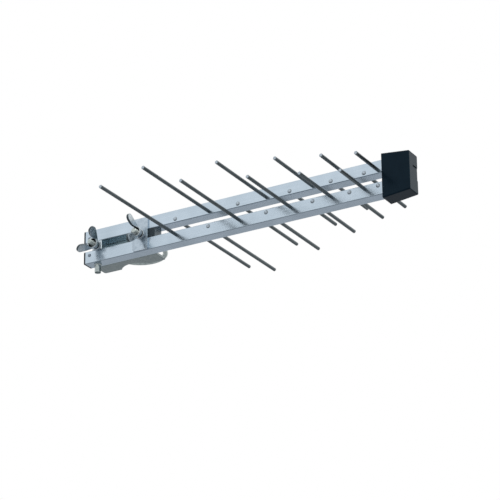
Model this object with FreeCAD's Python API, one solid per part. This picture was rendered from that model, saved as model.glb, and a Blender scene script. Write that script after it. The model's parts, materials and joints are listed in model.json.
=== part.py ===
import FreeCAD, Part
import math
import os

# Log-periodic television aerial: two stacked square booms carry twenty half-rods, and a
# channel bracket with a U-bolt and two wing nuts holds the rear end to an upright mast.
# Millimetres. Origin on the mast axis, midway between the booms; +X to the front cap,
# +Z up, booms on the -Y side of the mast.

# Mast clamp
MAST_R = 22.5
BOLT_R = 3.0
BOLT_BEND_R = 30.0
THREAD_R_GAP = 0.06
HOLE_GAP = 0.3
BOLT_END_PAST_HUB = 4.0
BOLT_END_CHAMFER = 0.8

# Booms
BOOM_SIDE = 15.0
BOOM_WALL = 1.0
BOOM_CORNER_R = 0.8
BOOM_PITCH = 25.4
BOOM_CENTRE_Y = -41.5
BOOM_PAST_BRACKET = 3.8
CAP_REAR_X = 338.5
BOOM_IN_CAP = 27.0

# Rods: distance of each dipole from the mast axis, and each half's share of the longest half,
# which is measured from the boom centre
ROD_R = 2.0
ROD_OFFSET_Z = 3.4
ROD_TIP_CHAMFER = 0.35
PEEN_R = 2.5
PEEN_HEIGHT = 0.9
DIPOLE_X = (76.0, 119.3, 157.7, 193.6, 223.6, 251.8, 274.9, 297.3, 315.5, 331.9)
LONGEST_HALF = 160.0
HALF_SHARE = (1.0, 0.898, 0.805, 0.715, 0.63, 0.57, 0.497, 0.451, 0.399, 0.366)

# Bracket
BRACKET_HALF_LENGTH = 41.5
BRACKET_HEIGHT = 40.0
BRACKET_REACH = 21.0
SHEET = 2.0
BEND_R = 1.2
FLANGE_CORNER_R = 2.5

# Plate, washers and wing nuts on the near side. Each nut has a dished hub, which flares out
# from its foot to its rim, and two tall wings with round lobes
PLATE_HALF_WIDTH = 10.3
PLATE_HEIGHT = 39.0
PLATE_CORNER_R = 2.0
WASHER_R = 6.0
WASHER_THICKNESS = 1.6
NUT_FOOT_R = 5.0
NUT_RIM_R = 6.5
HUB_HEIGHT = 7.8
DISH_R = 5.2
DISH_FLOOR_R = 4.3
DISH_DEPTH = 4.2
WING_SPAN = 34.0
WING_TOP = 24.8
LOBE_R = 4.6
WING_THICKNESS = 3.0
WING_EDGE_R = 0.8
WING_FOOT = 1.8
WING_ROOT_DEPTH = 0.9
OUTER_BOW = 0.03
INNER_BOW = 0.13
REAR_NUT_TURN = 50.0
FRONT_NUT_TURN = 90.0

# Spacers in the gap between the booms
REAR_SPACER_HALF_WIDTH = 6.4
FRONT_SPACER_BACK = 9.0
FRONT_SPACER_FRONT = 18.6
SPACER_EDGE = 0.6

# Rear plugs and their rivets
PLUG_RIM = 2.0
PLUG_SPIGOT = 9.0
PLUG_WALL = 1.6
RIVET_X = 5.5
RIVET_R = 1.5
RIVET_HEAD_R = 2.1
RIVET_HEAD_HEIGHT = 0.8
RIVET_OFFSET_Z = 2.4

# Cable outlet under the lower boom
OUTLET_FROM_REAR = 12.5
OUTLET_R = 3.7
OUTLET_BORE_R = 3.1
OUTLET_LENGTH = 10.6
OUTLET_COLLAR_R = 4.5
OUTLET_COLLAR = 1.2
OUTLET_LIP = 0.3

# Front cap
CAP_LENGTH = 32.8
CAP_REAR_WIDTH = 22.0
CAP_REAR_HEIGHT = 52.6
CAP_FRONT_WIDTH = 20.6
CAP_FRONT_HEIGHT = 45.6
CAP_EDGE_R = 1.6
CAP_NOSE_R = 1.1
CAP_RIM = 1.2
CAP_RIM_WALL = 1.4
PANEL_WIDTH = 12.2
PANEL_LOW = -7.0
PANEL_HIGH = 8.4
PANEL_DEPTH = 0.9

# Values that follow from those above
HALF_SIDE = BOOM_SIDE / 2
BOOM_REAR_X = -BRACKET_HALF_LENGTH - BOOM_PAST_BRACKET
OUTLET_X = BOOM_REAR_X + OUTLET_FROM_REAR
NEAR_Y = BOOM_CENTRE_Y - HALF_SIDE
FAR_Y = BOOM_CENTRE_Y + HALF_SIDE
UPPER_Z = BOOM_PITCH / 2
GAP = BOOM_PITCH - BOOM_SIDE
ROD_Z = UPPER_Z - ROD_OFFSET_Z
BOLT_ARC_Y = MAST_R - BOLT_BEND_R + BOLT_R
HOLE_R = BOLT_R + HOLE_GAP
PLATE_FACE_Y = NEAR_Y - SHEET
REAR_NUT_Y = NEAR_Y - WASHER_THICKNESS
FRONT_NUT_Y = PLATE_FACE_Y - WASHER_THICKNESS
BOLT_END_Y = FRONT_NUT_Y - HUB_HEIGHT - BOLT_END_PAST_HUB
ALONG_X = FreeCAD.Vector(1, 0, 0)
ALONG_Y = FreeCAD.Vector(0, 1, 0)
ALONG_Z = FreeCAD.Vector(0, 0, 1)


def vec(x, y, z):
    return FreeCAD.Vector(x, y, z)


def export(shape, name):
    shape.exportStep("parts/" + name + ".step")


def block(x0, x1, y0, y1, z0, z1):
    return Part.makeBox(x1 - x0, y1 - y0, z1 - z0, vec(x0, y0, z0))


def rounded_outline(half_a, half_b, radius, place):
    """Closed rectangle with round corners; place(a, b) gives the point in space."""
    mid = radius * (1 - math.cos(math.pi / 4))
    edges = []
    corners = ((1, 1), (-1, 1), (-1, -1), (1, -1))
    ends = []
    for sa, sb in corners:
        first = (sa * half_a, sb * (half_b - radius))
        last = (sa * (half_a - radius), sb * half_b)
        if sa * sb < 0:
            first, last = last, first
        middle = (sa * (half_a - mid), sb * (half_b - mid))
        ends.append((first, middle, last))
    for index, (first, middle, last) in enumerate(ends):
        edges.append(Part.Arc(place(*first), place(*middle), place(*last)).toShape())
        following = ends[(index + 1) % len(ends)][0]
        edges.append(Part.makeLine(place(*last), place(*following)))
    return Part.Wire(edges)


def square_bar(x0, x1, half, radius, z):
    outline = rounded_outline(half, half, radius, lambda a, b: vec(x0, BOOM_CENTRE_Y + a, z + b))
    return Part.Face(outline).extrude(vec(x1 - x0, 0, 0))


def cross_bore(x, z, radius, y0, y1):
    return Part.makeCylinder(radius, y1 - y0, vec(x, y0, z), ALONG_Y)


def dome(radius, height, base, outward):
    """Shallow round head standing on a flat face."""
    sphere_r = (radius ** 2 + height ** 2) / (2 * height)
    ball = Part.makeSphere(sphere_r, base - outward * (sphere_r - height))
    return ball.common(Part.makeCylinder(radius, height, base, outward))


def rod_on_upper(index, side):
    """Near-side halves of odd dipoles ride on the lower boom, and the two booms swap each time."""
    near_on_upper = index % 2 == 1
    return near_on_upper == (side < 0)


def make_boom(upper):
    z = UPPER_Z if upper else -UPPER_Z
    front = CAP_REAR_X + BOOM_IN_CAP
    shape = square_bar(BOOM_REAR_X, front, HALF_SIDE, BOOM_CORNER_R, z)
    inner = HALF_SIDE - BOOM_WALL
    shape = shape.cut(block(BOOM_REAR_X, front, BOOM_CENTRE_Y - inner, BOOM_CENTRE_Y + inner, z - inner, z + inner))
    rod_z = ROD_Z if upper else -ROD_Z
    for x in DIPOLE_X:
        shape = shape.cut(cross_bore(x, rod_z, ROD_R, NEAR_Y, FAR_Y))
    rivet_z = math.copysign(UPPER_Z - RIVET_OFFSET_Z, z)
    shape = shape.cut(cross_bore(BOOM_REAR_X + RIVET_X, rivet_z, RIVET_R, NEAR_Y, BOOM_CENTRE_Y))
    if not upper:
        low = z - HALF_SIDE
        shape = shape.cut(Part.makeCylinder(OUTLET_R, HALF_SIDE, vec(OUTLET_X, BOOM_CENTRE_Y, low), ALONG_Z))
    return shape


def make_rod(index, side):
    z = ROD_Z if rod_on_upper(index, side) else -ROD_Z
    x = DIPOLE_X[index]
    outward = ALONG_Y * side
    start = vec(x, BOOM_CENTRE_Y, z) - outward * HALF_SIDE
    length = HALF_SIDE + LONGEST_HALF * HALF_SHARE[index]
    body = Part.makeCylinder(ROD_R, length - ROD_TIP_CHAMFER, start, outward)
    tip_base = start + outward * (length - ROD_TIP_CHAMFER)
    tip = Part.makeCone(ROD_R, ROD_R - ROD_TIP_CHAMFER, ROD_TIP_CHAMFER, tip_base, outward)
    head = dome(PEEN_R, PEEN_HEIGHT, start, outward * -1)
    return body.fuse(tip).fuse(head).removeSplitter()


def make_plug(upper):
    z = UPPER_Z if upper else -UPPER_Z
    outer = square_bar(BOOM_REAR_X - PLUG_RIM, BOOM_REAR_X, HALF_SIDE, BOOM_CORNER_R, z)
    inner = HALF_SIDE - BOOM_WALL
    end = BOOM_REAR_X + PLUG_SPIGOT
    spigot = block(BOOM_REAR_X, end, BOOM_CENTRE_Y - inner, BOOM_CENTRE_Y + inner, z - inner, z + inner)
    hollow = inner - PLUG_WALL
    spigot = spigot.cut(block(BOOM_REAR_X, end, BOOM_CENTRE_Y - hollow, BOOM_CENTRE_Y + hollow, z - hollow, z + hollow))
    rivet_z = math.copysign(UPPER_Z - RIVET_OFFSET_Z, z)
    shape = outer.fuse(spigot).removeSplitter()
    return shape.cut(cross_bore(BOOM_REAR_X + RIVET_X, rivet_z, RIVET_R, NEAR_Y, BOOM_CENTRE_Y))


def make_plug_rivet(upper):
    z = UPPER_Z - RIVET_OFFSET_Z if upper else RIVET_OFFSET_Z - UPPER_Z
    base = vec(BOOM_REAR_X + RIVET_X, NEAR_Y, z)
    shank = Part.makeCylinder(RIVET_R, BOOM_WALL + PLUG_WALL, base, ALONG_Y)
    return shank.fuse(dome(RIVET_HEAD_R, RIVET_HEAD_HEIGHT, base, ALONG_Y * -1)).removeSplitter()


def make_outlet():
    top = BOOM_WALL - UPPER_Z - HALF_SIDE
    face = -UPPER_Z - HALF_SIDE
    foot = face - OUTLET_LENGTH
    centre = vec(OUTLET_X, BOOM_CENTRE_Y, foot)
    tube = Part.makeCylinder(OUTLET_R, top - foot, centre, ALONG_Z)
    collar = Part.makeCylinder(OUTLET_COLLAR_R, OUTLET_COLLAR, vec(OUTLET_X, BOOM_CENTRE_Y, face - OUTLET_COLLAR), ALONG_Z)
    shape = tube.fuse(collar).removeSplitter()
    shape = shape.cut(Part.makeCylinder(OUTLET_BORE_R, top - foot, centre, ALONG_Z))
    lip = Part.makeCone(OUTLET_BORE_R + OUTLET_LIP, OUTLET_BORE_R, OUTLET_LIP, centre, ALONG_Z)
    return shape.cut(lip)


def make_spacer(x0, x1, bolt_x):
    shape = block(x0, x1, NEAR_Y, FAR_Y, -GAP / 2, GAP / 2)
    upright = [e for e in shape.Edges if abs(e.tangentAt(e.FirstParameter).z) > 0.5]
    shape = shape.makeChamfer(SPACER_EDGE, upright)
    return shape.cut(cross_bore(bolt_x, 0, HOLE_R, NEAR_Y, FAR_Y))


def make_bracket():
    """Channel with its web on the far faces of the booms and a round seat for the mast in both flanges."""
    half = BRACKET_HEIGHT / 2
    tip = FAR_Y + BRACKET_REACH
    shape = block(-BRACKET_HALF_LENGTH, BRACKET_HALF_LENGTH, FAR_Y, tip, -half, half)
    outer_edges = [e for e in shape.Edges if abs(e.CenterOfMass.y - FAR_Y) < HOLE_GAP and abs(e.tangentAt(e.FirstParameter).x) > 0.5]
    shape = shape.makeFillet(BEND_R + SHEET, outer_edges)
    inside = block(-BRACKET_HALF_LENGTH, BRACKET_HALF_LENGTH, FAR_Y + SHEET, tip, SHEET - half, half - SHEET)
    inner_edges = [e for e in inside.Edges if abs(e.CenterOfMass.y - FAR_Y - SHEET) < HOLE_GAP and abs(e.tangentAt(e.FirstParameter).x) > 0.5]
    shape = shape.cut(inside.makeFillet(BEND_R, inner_edges))
    corners = [e for e in shape.Edges if abs(e.tangentAt(e.FirstParameter).z) > 0.5 and abs(e.CenterOfMass.y - tip) < HOLE_GAP]
    shape = shape.makeFillet(FLANGE_CORNER_R, corners)
    shape = shape.cut(Part.makeCylinder(MAST_R, BRACKET_HEIGHT, vec(0, 0, -half), ALONG_Z))
    for x in (-BOLT_BEND_R, BOLT_BEND_R):
        shape = shape.cut(cross_bore(x, 0, HOLE_R, FAR_Y, FAR_Y + SHEET))
    return shape


def make_plate():
    half_width = PLATE_HALF_WIDTH
    half_height = PLATE_HEIGHT / 2
    outline = rounded_outline(half_width, half_height, PLATE_CORNER_R, lambda a, b: vec(BOLT_BEND_R + a, PLATE_FACE_Y, b))
    shape = Part.Face(outline).extrude(vec(0, SHEET, 0))
    return shape.cut(cross_bore(BOLT_BEND_R, 0, HOLE_R, PLATE_FACE_Y, NEAR_Y))


def make_washer(x, y):
    ring = cross_bore(x, 0, WASHER_R, y, y + WASHER_THICKNESS)
    return ring.cut(cross_bore(x, 0, HOLE_R, y, y + WASHER_THICKNESS))


def make_u_bolt():
    legs_end = BOLT_END_Y + BOLT_END_CHAMFER
    shape = Part.makeTorus(BOLT_BEND_R, BOLT_R, vec(0, BOLT_ARC_Y, 0), ALONG_Z)
    reach = BOLT_BEND_R + BOLT_R
    shape = shape.common(block(-reach, reach, BOLT_ARC_Y, BOLT_ARC_Y + reach, -BOLT_R, BOLT_R))
    for x in (-BOLT_BEND_R, BOLT_BEND_R):
        leg = Part.makeCylinder(BOLT_R, BOLT_ARC_Y - legs_end, vec(x, legs_end, 0), ALONG_Y)
        point = Part.makeCone(BOLT_R, BOLT_R - BOLT_END_CHAMFER, BOLT_END_CHAMFER, vec(x, legs_end, 0), ALONG_Y * -1)
        shape = shape.fuse(leg).fuse(point)
    return shape.removeSplitter()


def wing_plate():
    """One wing in the plane of radius (x) and height (z), flat faces along y, lobe at the tip."""
    lobe = vec(WING_SPAN / 2 - LOBE_R, 0, WING_TOP - LOBE_R)
    slope = (NUT_RIM_R - NUT_FOOT_R) / HUB_HEIGHT
    low = vec(NUT_FOOT_R + slope * WING_FOOT - WING_ROOT_DEPTH, 0, WING_FOOT)
    high = vec(NUT_RIM_R - WING_ROOT_DEPTH, 0, HUB_HEIGHT)
    slant = math.atan2(lobe.z - low.z, lobe.x - low.x)
    side = vec(math.sin(slant), 0, -math.cos(slant))
    crown = vec(math.cos(slant), 0, math.sin(slant))
    right = lobe + side * LOBE_R
    left = lobe - side * LOBE_R
    top = lobe + crown * LOBE_R
    outer_mid = (low + right) * 0.5 + side * (right - low).Length * OUTER_BOW
    inner_mid = (high + left) * 0.5 + side * (left - high).Length * INNER_BOW * -1
    edges = [Part.Arc(low, outer_mid, right).toShape(), Part.Arc(right, top, left).toShape()]
    edges += [Part.Arc(left, inner_mid, high).toShape(), Part.makeLine(high, low)]
    shape = Part.Face(Part.Wire(edges)).extrude(vec(0, WING_THICKNESS, 0))
    shape.translate(vec(0, -WING_THICKNESS / 2, 0))
    rim = [e for e in shape.Edges if abs(abs(e.CenterOfMass.y) - WING_THICKNESS / 2) < WING_EDGE_R / 2]
    rim = [e for e in rim if e.Curve.TypeId == "Part::GeomCircle"]
    return shape.makeFillet(WING_EDGE_R, rim)


def make_wing_nut(x, y, turn):
    hub = Part.makeCone(NUT_FOOT_R, NUT_RIM_R, HUB_HEIGHT, vec(0, 0, 0), ALONG_Z)
    wing = wing_plate()
    other = wing.copy()
    other.rotate(vec(0, 0, 0), ALONG_Z, 180)
    floor = HUB_HEIGHT - DISH_DEPTH
    dish = Part.makeCone(DISH_FLOOR_R, DISH_R, DISH_DEPTH, vec(0, 0, floor), ALONG_Z)
    shape = hub.fuse(wing).fuse(other).cut(dish)
    shape = shape.cut(Part.makeCylinder(BOLT_R + THREAD_R_GAP, HUB_HEIGHT, vec(0, 0, 0), ALONG_Z))
    shape.rotate(vec(0, 0, 0), ALONG_X, 90)
    shape.rotate(vec(0, 0, 0), ALONG_Y, -turn)
    shape.translate(vec(x, y, 0))
    return shape


def cap_section(x, half_width, half_height, radius):
    return rounded_outline(half_width, half_height, radius, lambda a, b: vec(x, BOOM_CENTRE_Y + a, b))


def make_cap():
    front_x = CAP_REAR_X + CAP_LENGTH
    rear = cap_section(CAP_REAR_X, CAP_REAR_WIDTH / 2, CAP_REAR_HEIGHT / 2, CAP_EDGE_R)
    front = cap_section(front_x, CAP_FRONT_WIDTH / 2, CAP_FRONT_HEIGHT / 2, CAP_EDGE_R)
    shape = Part.makeLoft([rear, front], True, True)
    nose = [e for e in shape.Edges if abs(e.CenterOfMass.x - front_x) < CAP_NOSE_R / 2]
    shape = shape.makeFillet(CAP_NOSE_R, nose)
    boom_front = CAP_REAR_X + BOOM_IN_CAP
    for z in (-UPPER_Z, UPPER_Z):
        shape = shape.cut(square_bar(CAP_REAR_X, boom_front, HALF_SIDE, BOOM_CORNER_R, z))
    rim_width = CAP_REAR_WIDTH / 2 - CAP_RIM_WALL
    rim_height = CAP_REAR_HEIGHT / 2 - CAP_RIM_WALL
    rim = Part.Face(cap_section(CAP_REAR_X, rim_width, rim_height, CAP_EDGE_R)).extrude(vec(CAP_RIM, 0, 0))
    shape = shape.cut(rim)
    far_edge = BOOM_CENTRE_Y + CAP_FRONT_WIDTH / 2
    panel = block(front_x - PANEL_DEPTH, front_x, far_edge - PANEL_WIDTH, far_edge, PANEL_LOW, PANEL_HIGH)
    return shape.cut(panel)


os.makedirs("parts", exist_ok=True)
for upper, name in ((True, "upper"), (False, "lower")):
    export(make_boom(upper), name + "_boom")
    export(make_plug(upper), name + "_rear_plug")
    export(make_plug_rivet(upper), name + "_plug_rivet")
for index in range(len(DIPOLE_X)):
    for side, name in ((-1, "near"), (1, "far")):
        export(make_rod(index, side), "rod_%02d_%s" % (index + 1, name))
export(make_cap(), "front_cap")
export(make_outlet(), "cable_outlet")
export(make_spacer(-BOLT_BEND_R - REAR_SPACER_HALF_WIDTH, REAR_SPACER_HALF_WIDTH - BOLT_BEND_R, -BOLT_BEND_R), "rear_spacer")
export(make_spacer(BOLT_BEND_R - FRONT_SPACER_BACK, BOLT_BEND_R + FRONT_SPACER_FRONT, BOLT_BEND_R), "front_spacer")
export(make_bracket(), "mast_bracket")
export(make_plate(), "front_plate")
export(make_washer(-BOLT_BEND_R, REAR_NUT_Y), "rear_washer")
export(make_washer(BOLT_BEND_R, FRONT_NUT_Y), "front_washer")
export(make_wing_nut(-BOLT_BEND_R, REAR_NUT_Y, REAR_NUT_TURN), "rear_wing_nut")
export(make_wing_nut(BOLT_BEND_R, FRONT_NUT_Y, FRONT_NUT_TURN), "front_wing_nut")
export(make_u_bolt(), "u_bolt")
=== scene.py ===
import math
import bpy
from mathutils import Matrix, Vector
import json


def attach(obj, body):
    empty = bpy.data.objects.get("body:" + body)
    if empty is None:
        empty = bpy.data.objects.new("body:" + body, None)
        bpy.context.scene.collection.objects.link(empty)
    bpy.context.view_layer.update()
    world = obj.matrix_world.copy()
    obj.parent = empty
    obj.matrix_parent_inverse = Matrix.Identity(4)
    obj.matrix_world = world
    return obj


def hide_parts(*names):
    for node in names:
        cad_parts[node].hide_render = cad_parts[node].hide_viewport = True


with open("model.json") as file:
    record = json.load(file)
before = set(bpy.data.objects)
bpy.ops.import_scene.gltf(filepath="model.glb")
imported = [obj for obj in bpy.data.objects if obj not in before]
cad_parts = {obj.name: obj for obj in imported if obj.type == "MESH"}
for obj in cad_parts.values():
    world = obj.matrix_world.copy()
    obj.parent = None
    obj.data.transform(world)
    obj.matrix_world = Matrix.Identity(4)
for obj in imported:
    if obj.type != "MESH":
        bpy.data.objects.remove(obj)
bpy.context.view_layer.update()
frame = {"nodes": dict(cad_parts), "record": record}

# Log-periodic television aerial. Metres, in the part's own frame: origin on the axis of the clamp's
# round seat, midway between the booms, +X along the booms to the front cap, +Z up, booms towards -Y.

MM = 0.001

# Points this close are welded: in a newly turned or pushed-out mesh, and where a union leaves slivers
SEAM = 0.001 * MM
SLIVER = 0.01 * MM

# Booms
BOOM_Y = -41.5 * MM
BOOM_HALF = 7.5 * MM
BOOM_Z = 12.7 * MM
NEAR_FACE_Y = BOOM_Y - BOOM_HALF

# Clamp hardware
BOLT_R = 3.0 * MM
BOLT_BEND_R = 30.0 * MM
BOLT_ARC_Y = -4.5 * MM
BOLT_END_Y = -64.4 * MM
BOLT_POINT = 0.8 * MM
THREAD_PITCH = 1.0 * MM
THREAD_CREST_R = 2.97 * MM
THREAD_ROOT_R = 2.45 * MM
THREAD_START_Y = -27.0 * MM
NECK_R = 2.35 * MM
NECK_LENGTH = 0.7 * MM
REAR_NUT_Y = -50.6 * MM
FRONT_NUT_Y = -52.6 * MM
REAR_NUT_TURN = 50.0
FRONT_NUT_TURN = 90.0

# Washer, in mm: radius and height over the face that the nut bears on
WASHER = [
    (3.3, -1.5), (3.4, -1.6), (5.9, -1.6), (6.0, -1.5), (6.0, -0.5), (5.88, -0.18), (5.6, 0.0), (3.7, 0.0),
    (3.42, -0.12), (3.3, -0.4), (3.3, -1.5)]

# Wing nut, in mm: radius and height over the foot of the hub
LOBE = (12.4, 20.2)
LOBE_R = 4.6
LOBE_STEPS = 18
WING_FOOT = (4.4, 1.8)
WING_SHOULDER = (5.5, 7.6)
SLANT_FROM_R = 4.45
OUTER_BOW = 0.6
INNER_BOW = 1.8
WING_THICKNESS = 3.0
HUB = [
    (0.0, 0.0), (4.7, 0.0), (5.0, 0.3), (5.1, 1.6), (5.5, 4.4), (6.25, 6.9), (6.5, 7.4), (6.4, 7.8),
    (0.0, 7.8)]
NUT_BORE_R = 3.06
DISH_AND_BORE = [
    (0.0, -0.6), (4.0, -0.6), (NUT_BORE_R, 0.4), (NUT_BORE_R, 3.2), (3.5, 3.6), (4.2, 3.62), (4.5, 3.95),
    (5.15, 7.5), (5.3, 8.4), (0.0, 8.4)]
CASTING_GRAIN = 0.26 * MM

# Bands where the painted shade on a wing nut fades out: off the middle of the wings, over the foot, out
# from the axis
WING_EDGE = (1.2 * MM, 1.43 * MM)
HUB_RIM = (7.4 * MM, 9.0 * MM)
DISH_RIM = (5.0 * MM, 5.4 * MM)
# Tone of the painted shade on the wing nuts' edges above the hub and in their dish
NUT_PAINTED_SHADE = (0.06, 0.078, 0.088)

# Painted shade: a darker band along the rounded corners of the booms, in from their faces
CORNER_BAND = (0.9 * MM, 0.2 * MM)

# Rivets and cable outlet, profiles in mm: radius and height over the boom's face or the collar's
RIVET_X = -39.8 * MM
RIVET_Z = 10.3 * MM
RIVET_SHANK = [(0.0, -2.6), (1.25, -2.6), (1.5, -2.35), (1.5, 0.0), (2.05, 0.0)]
RIVET_DOME = (0.7, 0.12)
RIVET_DOME_R = (1.4, 0.66)
RIVET_PIN = [(0.6, 0.7), (0.55, 0.25), (0.3, 0.32), (0.0, 0.2)]
OUTLET_X = -32.8 * MM
OUTLET_FACE_Z = -20.2 * MM
OUTLET_NECK = [(3.15, -1.0), (3.65, -1.0), (3.7, -0.95), (3.7, 0.0)]
OUTLET_COLLAR = [(4.4, 0.0), (4.5, 0.12), (4.5, 0.9), (4.38, 1.12), (4.1, 1.2), (3.56, 1.2)]
OUTLET_GROOVE = [(3.5, 1.35), (3.5, 1.9), (3.7, 2.1)]
OUTLET_LIP = [(3.7, 10.05), (3.66, 10.4), (3.5, 10.6), (3.36, 10.56), (3.1, 10.2)]
OUTLET_BORE = [(3.1, -0.9), (3.15, -1.0)]
OUTLET = OUTLET_NECK + OUTLET_COLLAR + OUTLET_GROOVE + OUTLET_LIP + OUTLET_BORE

# Lines, specks or pits per metre, their depth, and clouds of tone per metre
BRUSHED = (900.0, 0.012 * MM, 38.0)
PLATED = (2340.0, 0.01 * MM, 260.0)
MOULDED = (2600.0, 0.01 * MM, 60.0)

# Stretch of the grain on each axis, the axes that ends lie across, and how square-on an end is
EVEN = (1.0, 1.0, 1.0)
ALONG_BOOM = (0.012, 1.0, 1.0)
ALONG_ROD = (1.0, 0.02, 1.0)
UPRIGHT = (1.0, 1.0, 0.03)
X, Y = 0, 1
SQUARE_ON = (0.8, 0.97)


# Finishes
class Finish:
    """One procedural material under construction."""

    def __init__(self, name):
        self.name = name
        self.material = bpy.data.materials.new(name)
        self.material.use_nodes = True
        self.tree = self.material.node_tree
        self.tree.nodes.clear()
        output = self.add("ShaderNodeOutputMaterial")
        self.shader = self.add("ShaderNodeBsdfPrincipled")
        self.link(self.shader.outputs["BSDF"], output.inputs["Surface"])
        self.coords = self.add("ShaderNodeTexCoord").outputs["Object"]

    def add(self, kind, **settings):
        node = self.tree.nodes.new(kind)
        for key, value in settings.items():
            setattr(node, key, value)
        return node

    def link(self, a, b):
        self.tree.links.new(a, b)

    def noise(self, stretch, scale, detail, roughness):
        """Noise whose scale is per metre, squeezed along the axes by stretch."""
        mapping = self.add("ShaderNodeMapping")
        mapping.inputs["Scale"].default_value = stretch
        self.link(self.coords, mapping.inputs["Vector"])
        noise = self.add("ShaderNodeTexNoise")
        noise.inputs["Scale"].default_value = scale
        noise.inputs["Detail"].default_value = detail
        noise.inputs["Roughness"].default_value = roughness
        self.link(mapping.outputs["Vector"], noise.inputs["Vector"])
        return noise.outputs["Fac"]

    def ramp(self, value, stops):
        """Tones at their places along the value."""
        ramp = self.add("ShaderNodeValToRGB")
        points = ramp.color_ramp.elements
        while len(points) < len(stops):
            points.new(0.5)
        for point, (place, tone) in zip(points, stops):
            point.position = place
            point.color = (*tone, 1.0)
        self.link(value, ramp.inputs["Fac"])
        return ramp.outputs["Color"]

    def spread(self, value, low, high, start=0.3, end=0.7):
        """The value between start and end, spread over low to high."""
        node = self.add("ShaderNodeMapRange")
        node.inputs["From Min"].default_value = start
        node.inputs["From Max"].default_value = end
        node.inputs["To Min"].default_value = low
        node.inputs["To Max"].default_value = high
        self.link(value, node.inputs["Value"])
        return node.outputs["Result"]

    def feed(self, socket, value):
        """Links another socket's value, or writes a plain one."""
        if isinstance(value, bpy.types.NodeSocket):
            self.link(value, socket)
        else:
            socket.default_value = value

    def mix(self, factor, base, tone):
        """The base, going over to a plain tone where the factor is 1."""
        node = self.add("ShaderNodeMix", data_type="RGBA")
        factor_in, base_in, tone_in = node.inputs[0], node.inputs[6], node.inputs[7]
        self.link(factor, factor_in)
        self.link(base, base_in)
        tone_in.default_value = (*tone, 1.0)
        return node.outputs[2]

    def reckon(self, operation, a, b, clamp=False):
        """Arithmetic on two values, each of them a socket or a plain number."""
        node = self.add("ShaderNodeMath", operation=operation, use_clamp=clamp)
        self.feed(node.inputs[0], a)
        self.feed(node.inputs[1], b)
        return node.outputs[0]

    def absolute(self, value):
        return self.reckon("ABSOLUTE", value, 0.0)

    def edges(self, radius, sharpness=6.0):
        """1 on edges, 0 on flat faces."""
        bevel = self.add("ShaderNodeBevel", samples=6)
        bevel.inputs["Radius"].default_value = radius
        geometry = self.add("ShaderNodeNewGeometry")
        dot = self.add("ShaderNodeVectorMath", operation="DOT_PRODUCT")
        self.link(bevel.outputs["Normal"], dot.inputs[0])
        self.link(geometry.outputs["Normal"], dot.inputs[1])
        turned = self.reckon("SUBTRACT", 1.0, dot.outputs["Value"])
        return self.reckon("MULTIPLY", turned, sharpness, clamp=True)

    def across(self, base, axis, tone):
        """The base, with another tone on the faces that lie across one of the object's own axes."""
        split = self.add("ShaderNodeSeparateXYZ")
        self.link(self.add("ShaderNodeTexCoord").outputs["Normal"], split.inputs[0])
        square_on = self.spread(self.absolute(split.outputs[axis]), 0.0, 1.0, *SQUARE_ON)
        return self.mix(square_on, base, tone)

    def reach(self, centre, direction):
        """Distance of the point from the centre along a direction, in metres."""
        away = self.add("ShaderNodeVectorMath", operation="SUBTRACT")
        self.link(self.coords, away.inputs[0])
        away.inputs[1].default_value = centre
        along = self.add("ShaderNodeVectorMath", operation="DOT_PRODUCT")
        self.link(away.outputs[0], along.inputs[0])
        along.inputs[1].default_value = direction
        return along.outputs["Value"]

    def bump(self, height, distance):
        node = self.add("ShaderNodeBump")
        node.inputs["Distance"].default_value = distance
        node.inputs["Strength"].default_value = 1.0
        self.link(height, node.inputs["Height"])
        self.link(node.outputs["Normal"], self.shader.inputs["Normal"])

    def colour(self, value):
        self.link(value, self.shader.inputs["Base Color"])

    def over(self, factor, tone):
        """Another tone over the colour that the finish already has."""
        self.colour(self.mix(factor, self.shader.inputs["Base Color"].links[0].from_socket, tone))

    def roughness(self, value):
        self.link(value, self.shader.inputs["Roughness"])

    def set(self, name, value):
        self.shader.inputs[name].default_value = value


def drawn_metal(name, dark, light, edge_wear_and_shade, rough, stretch, edge=0.5 * MM, ends=None):
    """Drawn, rolled or sawn metal: long fine lines, a slow change of tone and bright rubbed edges.
    Ends is an axis and the paler tone of the faces across it, sawn off or peened over."""
    grain, depth, clouds = BRUSHED
    finish = Finish(name)
    lines = finish.noise(stretch, grain, 5.0, 0.6)
    cloud = finish.noise(EVEN, clouds, 3.0, 0.5)
    fine = finish.reckon("MULTIPLY", lines, 0.45)
    broad = finish.reckon("MULTIPLY", cloud, 0.55)
    tone = finish.reckon("ADD", fine, broad)
    base = finish.mix(finish.edges(edge), finish.ramp(tone, [(0.36, dark), (0.62, light)]), edge_wear_and_shade)
    if ends:
        base = finish.across(base, *ends)
    finish.colour(base)
    finish.roughness(finish.spread(tone, *rough, 0.35, 0.65))
    finish.bump(lines, depth)
    finish.set("Metallic", 1.0)
    return finish


def plated_metal(name, dark, light, edge_wear_and_shade, rough, speckle=None, edge=0.5 * MM, ends=None):
    """Zinc or nickel plate: cloudy tone, small specks, and edges rubbed bright on most parts but darkened
    by painted shade on the wing nuts. Ends is an axis and another tone for the faces across it, which on
    the bracket is painted light.
    """
    grain, depth, clouds = PLATED
    finish = Finish(name)
    cloud = finish.noise(EVEN, clouds, 4.0, 0.6)
    speck = finish.noise(EVEN, grain, 2.0, 0.5)
    base = finish.ramp(cloud, [(0.36, dark), (0.64, light)])
    if speckle:
        base = finish.mix(finish.spread(speck, 0.0, 0.35, 0.5, 0.75), base, speckle)
    if ends:
        base = finish.across(base, *ends)
    finish.colour(finish.mix(finish.edges(edge), base, edge_wear_and_shade))
    finish.roughness(finish.spread(cloud, *rough))
    finish.bump(speck, depth)
    finish.set("Metallic", 1.0)
    return finish


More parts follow.
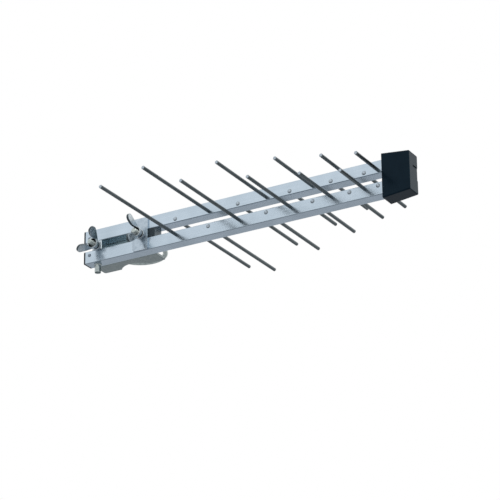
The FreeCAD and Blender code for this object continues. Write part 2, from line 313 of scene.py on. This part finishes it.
def moulded_plastic(name, dark, light, edge_wear_and_shade, rough, level, tint, ends=None):
    """Injection-moulded plastic with a fine spark-eroded grain. Ends is an axis and another tone for the
    faces across it, which on the front cap is painted reflection.
    """
    grain, depth, clouds = MOULDED
    finish = Finish(name)
    pits = finish.noise(EVEN, grain, 2.0, 0.5)
    cloud = finish.noise(EVEN, clouds, 3.0, 0.5)
    base = finish.mix(finish.edges(0.6 * MM, 4.0), finish.ramp(cloud, [(0.35, dark), (0.65, light)]), edge_wear_and_shade)
    if ends:
        base = finish.across(base, *ends)
    finish.colour(base)
    finish.roughness(finish.spread(finish.reckon("MULTIPLY", pits, cloud), *rough, 0.15, 0.4))
    finish.bump(pits, depth)
    finish.set("Specular IOR Level", level)
    finish.set("Specular Tint", (*tint, 1.0))
    return finish


def shade_boom_corners(finish, corner_shade):
    """Painted shade: a darker tone on the rounded corners of the booms."""
    beside = finish.absolute(finish.reach((0.0, BOOM_Y, 0.0), (0.0, 1.0, 0.0)))
    level = finish.absolute(finish.reach((0.0, 0.0, 0.0), (0.0, 0.0, 1.0)))
    above = finish.absolute(finish.reckon("SUBTRACT", level, BOOM_Z))
    inner, outer = CORNER_BAND
    off_centre = finish.reckon("MINIMUM", beside, above)
    finish.over(finish.spread(off_centre, 0.0, 1.0, BOOM_HALF - inner, BOOM_HALF - outer), corner_shade)


def cast_zinc_with_painted_shade(name, x, base, turn):
    """Wing nut as cast and tumbled, with painted shade: the edges of the wings above the hub, the dish and
    all sharp edges are darkened.
    """
    # Its dark edge tone is painted shade
    finish = plated_metal(
        name, dark=(0.38, 0.43, 0.46), light=(0.6, 0.66, 0.69), edge_wear_and_shade=(0.08, 0.1, 0.11), rough=(0.2, 0.36),
        speckle=(0.45, 0.5, 0.52))
    centre = (x, base, 0.0)
    angle = math.radians(turn)
    off_plane = finish.absolute(finish.reach(centre, (-math.sin(angle), 0.0, math.cos(angle))))
    over_foot = finish.reach(centre, (0.0, -1.0, 0.0))
    along = finish.reach(centre, (1.0, 0.0, 0.0))
    up = finish.reach(centre, (0.0, 0.0, 1.0))
    along_squared = finish.reckon("MULTIPLY", along, along)
    up_squared = finish.reckon("MULTIPLY", up, up)
    radius = finish.reckon("POWER", finish.reckon("ADD", along_squared, up_squared), 0.5)
    edge = finish.spread(off_plane, 1.0, 0.0, *WING_EDGE)
    over_hub = finish.spread(over_foot, 0.0, 1.0, *HUB_RIM)
    dish = finish.spread(radius, 1.0, 0.0, *DISH_RIM)
    finish.over(finish.reckon("MAXIMUM", finish.reckon("MULTIPLY", edge, over_hub), dish), NUT_PAINTED_SHADE)
    return finish


FINISHES = {finish.name: finish for finish in (
    # Booms: square tube, brushed along its length
    drawn_metal(
        "boom_aluminium", dark=(0.44, 0.53, 0.61), light=(0.53, 0.625, 0.715), edge_wear_and_shade=(0.6, 0.68, 0.75),
        rough=(0.16, 0.3), stretch=ALONG_BOOM),
    # Rods: dark drawn wire, pale where the ends are sawn or peened
    drawn_metal(
        "rod_aluminium", dark=(0.09, 0.108, 0.115), light=(0.14, 0.165, 0.175), edge_wear_and_shade=(0.3, 0.33, 0.34),
        rough=(0.3, 0.45), stretch=ALONG_ROD, edge=0.3 * MM, ends=(Y, (0.4, 0.46, 0.52))),
    # Rear spacer: a light sawn block
    drawn_metal(
        "spacer_aluminium", dark=(0.5, 0.58, 0.63), light=(0.62, 0.7, 0.75), edge_wear_and_shade=(0.75, 0.8, 0.83),
        rough=(0.3, 0.45), stretch=UPRIGHT),
    # Rivets of the rear plugs
    plated_metal(
        "rivet_aluminium", dark=(0.16, 0.2, 0.25), light=(0.26, 0.31, 0.37), edge_wear_and_shade=(0.4, 0.45, 0.5),
        rough=(0.3, 0.45)),
    # Front cap: near black and glossy, its front face a little lighter with painted reflection
    moulded_plastic(
        "black_plastic", dark=(0.0022, 0.0068, 0.0115), light=(0.0034, 0.0095, 0.016),
        edge_wear_and_shade=(0.01, 0.017, 0.026), rough=(0.16, 0.26), level=0.15, tint=(0.42, 0.72, 1.0),
        ends=(X, (0.005, 0.017, 0.024))),
    # Rear plugs: black, duller than the cap
    moulded_plastic(
        "plug_plastic", dark=(0.004, 0.007, 0.009), light=(0.007, 0.011, 0.014), edge_wear_and_shade=(0.02, 0.026, 0.031),
        rough=(0.36, 0.5), level=0.3, tint=(0.6, 0.85, 1.0)),
    # Front spacer: black, pale on its end faces
    moulded_plastic(
        "spacer_plastic", dark=(0.008, 0.013, 0.017), light=(0.014, 0.021, 0.028),
        edge_wear_and_shade=(0.035, 0.045, 0.055), rough=(0.3, 0.42), level=0.5, tint=(0.7, 0.9, 1.0),
        ends=(X, (0.16, 0.19, 0.2))),
    # Bracket: matt galvanised sheet, its web faces lighter with painted light
    plated_metal(
        "bracket_zinc", dark=(0.24, 0.285, 0.29), light=(0.34, 0.385, 0.385), edge_wear_and_shade=(0.6, 0.65, 0.66),
        rough=(0.36, 0.52), speckle=(0.4, 0.44, 0.42), ends=(Y, (0.42, 0.53, 0.54))),
    # Front plate: smooth and bright
    plated_metal(
        "plate_zinc", dark=(0.37, 0.445, 0.515), light=(0.47, 0.555, 0.635), edge_wear_and_shade=(0.75, 0.8, 0.84),
        rough=(0.2, 0.3)),
    # Washers
    plated_metal(
        "washer_zinc", dark=(0.38, 0.43, 0.46), light=(0.48, 0.53, 0.57), edge_wear_and_shade=(0.7, 0.74, 0.77),
        rough=(0.25, 0.4)),
    # Wing nuts as plain solids, their edges darkened by painted shade; the cast ones get a cast zinc
    # finish with painted shade each
    plated_metal(
        "wing_nut_zinc", dark=(0.24, 0.285, 0.31), light=(0.48, 0.54, 0.57), edge_wear_and_shade=(0.05, 0.066, 0.074),
        rough=(0.2, 0.36), speckle=(0.42, 0.47, 0.49), edge=0.8 * MM),
    # U-bolt: smooth zinc plate
    plated_metal(
        "u_bolt_zinc", dark=(0.36, 0.42, 0.41), light=(0.52, 0.58, 0.565), edge_wear_and_shade=(0.68, 0.73, 0.72),
        rough=(0.18, 0.32), speckle=(0.42, 0.46, 0.42)),
    # Cable outlet: turned and nickel plated
    plated_metal(
        "outlet_nickel", dark=(0.32, 0.37, 0.37), light=(0.43, 0.48, 0.48), edge_wear_and_shade=(0.68, 0.72, 0.72),
        rough=(0.2, 0.34)),
)}
# Painted shade along the rounded corners of the booms
shade_boom_corners(FINISHES["boom_aluminium"], (0.2, 0.25, 0.29))
FINISH_OF = {row["node"]: row["material_slot"] for row in frame["record"]["subparts"]}
for node, part in frame["nodes"].items():
    part.data.materials.clear()
    part.data.materials.append(FINISHES[FINISH_OF[node]].material)


# Bench tools
def leave_all():
    if bpy.context.mode != "OBJECT":
        bpy.ops.object.mode_set(mode="OBJECT")
    bpy.ops.object.select_all(action="DESELECT")


def settle(name):
    """The new primitive's place goes into its mesh."""
    piece = bpy.context.object
    piece.name = name
    piece.data.name = name
    bpy.ops.object.transform_apply(location=True, rotation=True, scale=True)
    return piece


def hold(piece):
    leave_all()
    piece.select_set(True)
    bpy.context.view_layer.objects.active = piece


def whole(piece, kind="VERT"):
    """Edit mode with all of the piece selected."""
    hold(piece)
    bpy.ops.object.mode_set(mode="EDIT")
    bpy.ops.mesh.select_mode(type=kind)
    bpy.ops.mesh.select_all(action="SELECT")


def pick_edges(piece, test):
    """Edit mode with the edges selected whose middle passes the test."""
    whole(piece, "EDGE")
    bpy.ops.mesh.select_all(action="DESELECT")
    bpy.ops.object.mode_set(mode="OBJECT")
    for edge in piece.data.edges:
        a, b = (piece.data.vertices[i].co for i in edge.vertices)
        edge.select = test((a + b) / 2)
    bpy.ops.object.mode_set(mode="EDIT")


def push(offset):
    """Extrudes what is selected."""
    bpy.ops.mesh.extrude_region_move(TRANSFORM_OT_translate={"value": tuple(offset)})


def clean(piece):
    whole(piece)
    bpy.ops.mesh.remove_doubles(threshold=SEAM)
    bpy.ops.mesh.normals_make_consistent(inside=False)
    bpy.ops.object.mode_set(mode="OBJECT")


def modify(piece, kind, **settings):
    hold(piece)
    modifier = piece.modifiers.new(kind.lower(), kind)
    for key, value in settings.items():
        setattr(modifier, key, value)
    bpy.ops.object.modifier_apply(modifier=modifier.name)


def combine(piece, other, operation):
    modify(piece, "BOOLEAN", object=other, operation=operation, solver="EXACT")
    bpy.data.objects.remove(other)


def soften(piece, angle=40.0):
    """Smooth shading over edges that turn by less than the angle."""
    hold(piece)
    bpy.ops.object.shade_smooth_by_angle(angle=math.radians(angle))


def fit(piece, finish, body, node):
    """Gives the finished piece its material, its body and the node it stands for."""
    piece.data.materials.clear()
    piece.data.materials.append(FINISHES[finish].material)
    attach(piece, body)
    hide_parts(node)


def trace(name, points):
    """A line of edges, pushed out point by point from the first."""
    leave_all()
    bpy.ops.mesh.primitive_plane_add(size=MM, location=points[0])
    piece = settle(name)
    whole(piece)
    bpy.ops.mesh.merge(type="CENTER")
    for a, b in zip(points, points[1:]):
        push(Vector(b) - Vector(a))
    return piece


def turn_on_lathe(name, profile, centre, upright=False, steps=56):
    """Spins a profile of (radius, place along the axis) about a line along Y, or Z if upright."""
    x, across = centre
    if upright:
        points = [(x + r, across, t) for r, t in profile]
        pole, axis = (x, across, 0.0), (0.0, 0.0, 1.0)
    else:
        points = [(x + r, t, across) for r, t in profile]
        pole, axis = (x, 0.0, across), (0.0, 1.0, 0.0)
    piece = trace(name, points)
    bpy.ops.mesh.select_all(action="SELECT")
    bpy.ops.mesh.spin(steps=steps, angle=2 * math.pi, center=pole, axis=axis)
    clean(piece)
    return piece


def in_metres(profile, base):
    """A profile in mm, its heights counted from the base against the axis, made ready for the lathe."""
    return [(r * MM, base - height * MM) for r, height in profile]


# U-bolt
def roll_thread(x):
    """Rolled M6 thread on one leg: root, flanks and crest wound along the leg, then cut to length."""
    start = BOLT_END_Y - THREAD_PITCH
    profile = [
        (THREAD_ROOT_R, 0.0), (THREAD_ROOT_R, 0.14), (THREAD_CREST_R, 0.45),
        (THREAD_CREST_R, 0.64), (THREAD_ROOT_R, 0.95), (THREAD_ROOT_R, 1.0)]
    thread = trace("u_bolt_thread", [(x + r, start - turn * THREAD_PITCH, 0.0) for r, turn in profile])
    turns = math.ceil((THREAD_START_Y - start) / THREAD_PITCH) + 2
    bpy.ops.mesh.select_all(action="SELECT")
    bpy.ops.mesh.screw(steps=20, turns=turns, center=(x, start, 0.0), axis=(0.0, 1.0, 0.0))
    clean(thread)
    spare = 0.4 * THREAD_PITCH
    for cut, outward in ((THREAD_START_Y + spare, 1.0), (BOLT_END_Y - spare, -1.0)):
        whole(thread)
        bpy.ops.mesh.bisect(
            plane_co=(x, cut, 0.0), plane_no=(0.0, outward, 0.0), use_fill=True, clear_outer=True)
    clean(thread)
    play = 0.25 * MM
    gauge = turn_on_lathe("thread_gauge", [
        (0.0, THREAD_START_Y + THREAD_PITCH),
        (THREAD_CREST_R + play, THREAD_START_Y + THREAD_PITCH),
        (THREAD_CREST_R + play, BOLT_END_Y + BOLT_POINT + play),
        (THREAD_CREST_R - BOLT_POINT, BOLT_END_Y),
        (0.0, BOLT_END_Y)], (x, 0.0))
    combine(thread, gauge, "INTERSECT")
    return thread


def bend_u_bolt():
    """One bar bent to a U, necked at both ends where the thread runs out."""
    leave_all()
    bpy.ops.mesh.primitive_circle_add(
        vertices=44, radius=BOLT_R, location=(BOLT_BEND_R, THREAD_START_Y, 0.0),
        rotation=(math.pi / 2, 0.0, 0.0))
    bolt = settle("u_bolt_bar")
    whole(bolt)
    push((0.0, BOLT_ARC_Y - THREAD_START_Y, 0.0))
    bpy.ops.mesh.spin(steps=64, angle=math.pi, center=(0.0, BOLT_ARC_Y, 0.0), axis=(0.0, 0.0, -1.0))
    push((0.0, THREAD_START_Y - BOLT_ARC_Y, 0.0))
    neck = NECK_R / BOLT_R
    for x in (-BOLT_BEND_R, BOLT_BEND_R):
        pick_edges(bolt, lambda middle: abs(middle.y - THREAD_START_Y) < SEAM and middle.x * x > 0.0)
        push((0.0, -NECK_LENGTH, 0.0))
        bpy.ops.transform.resize(value=(neck, 1.0, neck), center_override=(x, THREAD_START_Y, 0.0))
        bpy.ops.mesh.edge_face_add()
    clean(bolt)
    for x in (-BOLT_BEND_R, BOLT_BEND_R):
        combine(bolt, roll_thread(x), "UNION")
    whole(bolt)
    bpy.ops.mesh.remove_doubles(threshold=SLIVER)
    bpy.ops.mesh.dissolve_degenerate(threshold=SLIVER)
    bpy.ops.mesh.normals_make_consistent(inside=False)
    bpy.ops.object.mode_set(mode="OBJECT")
    bolt.name = "threaded_u_bolt"
    soften(bolt, 30.0)
    fit(bolt, "u_bolt_zinc", "clamp_bolt", "u_bolt")


# Wing nuts
def bowed(a, b, bow, steps):
    """Points between a and b on a shallow curve that stands bow off the straight line."""
    length = math.dist(a, b)
    off = ((b[1] - a[1]) / length, (a[0] - b[0]) / length)
    points = []
    for step in range(1, steps):
        t = step / steps
        swell = 4 * bow * t * (1 - t)
        points.append(tuple(a[i] + (b[i] - a[i]) * t + off[i] * swell for i in (0, 1)))
    return points


def cast_wing(x, base):
    """One wing along +X: from its foot up the outer edge, round the lobe and down to the shoulder."""
    slant = math.atan2(LOBE[1] - WING_FOOT[1], LOBE[0] - SLANT_FROM_R)
    lobe = []
    for step in range(LOBE_STEPS + 1):
        angle = slant - math.pi / 2 + math.pi * step / LOBE_STEPS
        lobe.append((LOBE[0] + LOBE_R * math.cos(angle), LOBE[1] + LOBE_R * math.sin(angle)))
    outer_edge = bowed(WING_FOOT, lobe[0], OUTER_BOW, 12)
    inner_edge = bowed(lobe[-1], WING_SHOULDER, INNER_BOW, 10)
    outline = [WING_FOOT, *outer_edge, *lobe, *inner_edge, WING_SHOULDER]
    half = WING_THICKNESS / 2
    wing = trace("wing_blank", [(x + r * MM, base - height * MM, -half * MM) for r, height in outline])
    bpy.ops.mesh.select_all(action="SELECT")
    bpy.ops.mesh.edge_face_add()
    bpy.ops.mesh.select_all(action="SELECT")
    push((0.0, 0.0, WING_THICKNESS * MM))
    clean(wing)
    return wing


def cast_wing_nut(name, x, base, turn, body, node):
    """Hub and wings are cast in one, so they are fused and softened before the dish and bore are cut."""
    nut = turn_on_lathe(name, in_metres(HUB, base), (x, 0.0))
    for half_turn in (0.0, 180.0):
        wing = cast_wing(x, base)
        whole(wing)
        bpy.ops.transform.rotate(
            value=math.radians(turn + half_turn), orient_axis="Y", center_override=(x, base, 0.0))
        bpy.ops.object.mode_set(mode="OBJECT")
        combine(nut, wing, "UNION")
    modify(nut, "REMESH", mode="VOXEL", voxel_size=CASTING_GRAIN, use_smooth_shade=True)
    modify(nut, "SMOOTH", factor=0.5, iterations=8)
    cutter = turn_on_lathe("dish_cutter", in_metres(DISH_AND_BORE, base), (x, 0.0), steps=64)
    combine(nut, cutter, "DIFFERENCE")
    soften(nut)
    fit(nut, "wing_nut_zinc", body, node)
    nut.data.materials[0] = cast_zinc_with_painted_shade(name + "_zinc", x, base, turn).material


# Washers, rivets and cable outlet
def stamp_washer(name, x, face, body, node):
    """Stamped ring: rounded on the die side, a small burr on the other."""
    ring = turn_on_lathe(name, in_metres(WASHER, face), (x, 0.0))
    soften(ring)
    fit(ring, "washer_zinc", body, node)


def pull_rivet(name, z, node):
    """Blind rivet: domed head with the broken pulling pin sunk in it."""
    dome = []
    for step in range(7):
        angle = math.radians(90.0 * step / 6)
        dome.append((
            RIVET_DOME[0] + RIVET_DOME_R[0] * math.cos(angle),
            RIVET_DOME[1] + RIVET_DOME_R[1] * math.sin(angle)))
    profile = RIVET_SHANK + dome + RIVET_PIN
    rivet = turn_on_lathe(name, in_metres(profile, NEAR_FACE_Y), (RIVET_X, z), steps=36)
    soften(rivet)
    fit(rivet, "rivet_aluminium", "aerial", node)


def turn_outlet():
    """Cable outlet: a turned sleeve with a collar against the boom, a groove and a rolled lip."""
    profile = in_metres(OUTLET, OUTLET_FACE_Z)
    sleeve = turn_on_lathe("turned_cable_outlet", profile, (OUTLET_X, BOOM_Y), upright=True)
    soften(sleeve)
    fit(sleeve, "outlet_nickel", "aerial", "cable_outlet")


bend_u_bolt()
cast_wing_nut(
    "rear_cast_wing_nut", -BOLT_BEND_R, REAR_NUT_Y, REAR_NUT_TURN, "rear_nut", "rear_wing_nut")
cast_wing_nut(
    "front_cast_wing_nut", BOLT_BEND_R, FRONT_NUT_Y, FRONT_NUT_TURN, "front_nut", "front_wing_nut")
stamp_washer("rear_stamped_washer", -BOLT_BEND_R, REAR_NUT_Y, "rear_travel", "rear_washer")
stamp_washer("front_stamped_washer", BOLT_BEND_R, FRONT_NUT_Y, "front_travel", "front_washer")
pull_rivet("upper_blind_rivet", RIVET_Z, "upper_plug_rivet")
pull_rivet("lower_blind_rivet", -RIVET_Z, "lower_plug_rivet")
turn_outlet()


# Studio
FLOOR_Z = -1.6
FLOOR_SIZE = 40.0
PAPER = (0.56, 0.56, 0.57, 1.0)
SOFT_LIGHT = ((0.94, 0.97, 1.0, 1.0), 0.85)
WHITE_LIGHT = ((1.0, 1.0, 1.0, 1.0), 1.0)
LAMPS_AIM = Vector((0.15, -0.04, 0.0))


def make_floor():
    """Grey paper that can be seen through from below, where the camera stands."""
    leave_all()
    bpy.ops.mesh.primitive_plane_add(size=FLOOR_SIZE, location=(0.0, 0.0, FLOOR_Z))
    floor = bpy.context.object
    floor.name = "studio_floor"
    material = bpy.data.materials.new("floor_paper")
    material.use_nodes = True
    nodes = material.node_tree.nodes
    links = material.node_tree.links
    paper = nodes["Principled BSDF"]
    paper.inputs["Base Color"].default_value = PAPER
    paper.inputs["Roughness"].default_value = 0.9
    clear = nodes.new("ShaderNodeBsdfTransparent")
    side = nodes.new("ShaderNodeNewGeometry")
    mix = nodes.new("ShaderNodeMixShader")
    links.new(side.outputs["Backfacing"], mix.inputs[0])
    links.new(paper.outputs["BSDF"], mix.inputs[1])
    links.new(clear.outputs["BSDF"], mix.inputs[2])
    links.new(mix.outputs[0], nodes["Material Output"].inputs["Surface"])
    floor.data.materials.append(material)


def make_world():
    """Soft light on the object, and plain white for the camera and in what the object mirrors."""
    world = bpy.data.worlds.new("studio_air")
    bpy.context.scene.world = world
    world.use_nodes = True
    nodes = world.node_tree.nodes
    links = world.node_tree.links
    nodes.clear()
    mix = nodes.new("ShaderNodeMixShader")
    for place, (tone, strength) in enumerate((SOFT_LIGHT, WHITE_LIGHT)):
        light = nodes.new("ShaderNodeBackground")
        light.inputs["Color"].default_value = tone
        light.inputs["Strength"].default_value = strength
        links.new(light.outputs[0], mix.inputs[1 + place])
    rays = nodes.new("ShaderNodeLightPath")
    white = rays.outputs["Is Camera Ray"]
    for kind in ("Is Glossy Ray", "Is Transmission Ray"):
        either = nodes.new("ShaderNodeMath")
        either.operation = "MAXIMUM"
        links.new(white, either.inputs[0])
        links.new(rays.outputs[kind], either.inputs[1])
        white = either.outputs[0]
    links.new(white, mix.inputs[0])
    links.new(mix.outputs[0], nodes.new("ShaderNodeOutputWorld").inputs["Surface"])


def add_lamp(name, place, size, power):
    """A square soft box aimed at the middle of the aerial."""
    bpy.ops.object.light_add(type="AREA", location=place)
    lamp = bpy.context.object
    lamp.name = name
    lamp.data.size = size
    lamp.data.energy = power
    aim = LAMPS_AIM - Vector(place)
    lamp.rotation_euler = aim.to_track_quat("-Z", "Y").to_euler()


make_floor()
make_world()
add_lamp("key_softbox", (-0.5, -0.2, 2.4), 3.0, 14.0)
add_lamp("side_softbox", (1.9, -0.9, 1.1), 1.2, 3.0)

# Camera at the photograph's viewing angle
LENS = 163.2
EYE = Vector((1.31393, -2.04467, -1.00934))
RIGHT = Vector((0.8660, 0.4999, -0.0098))
UP = Vector((0.2004, -0.3291, 0.9228))
BACK = Vector((0.4581, -0.8011, -0.3852))
camera_data = bpy.data.cameras.new("product_camera")
camera_data.lens = LENS
camera_data.sensor_width = 36.0
camera_data.clip_start = 0.05
camera_data.clip_end = 100.0
camera = bpy.data.objects.new("product_camera", camera_data)
bpy.context.scene.collection.objects.link(camera)
axes = Matrix((RIGHT.normalized(), UP.normalized(), BACK.normalized())).transposed()
camera.matrix_world = Matrix.Translation(EYE) @ axes.to_4x4()
bpy.context.scene.camera = camera
bpy.context.scene.view_settings.view_transform = "Standard"

import json
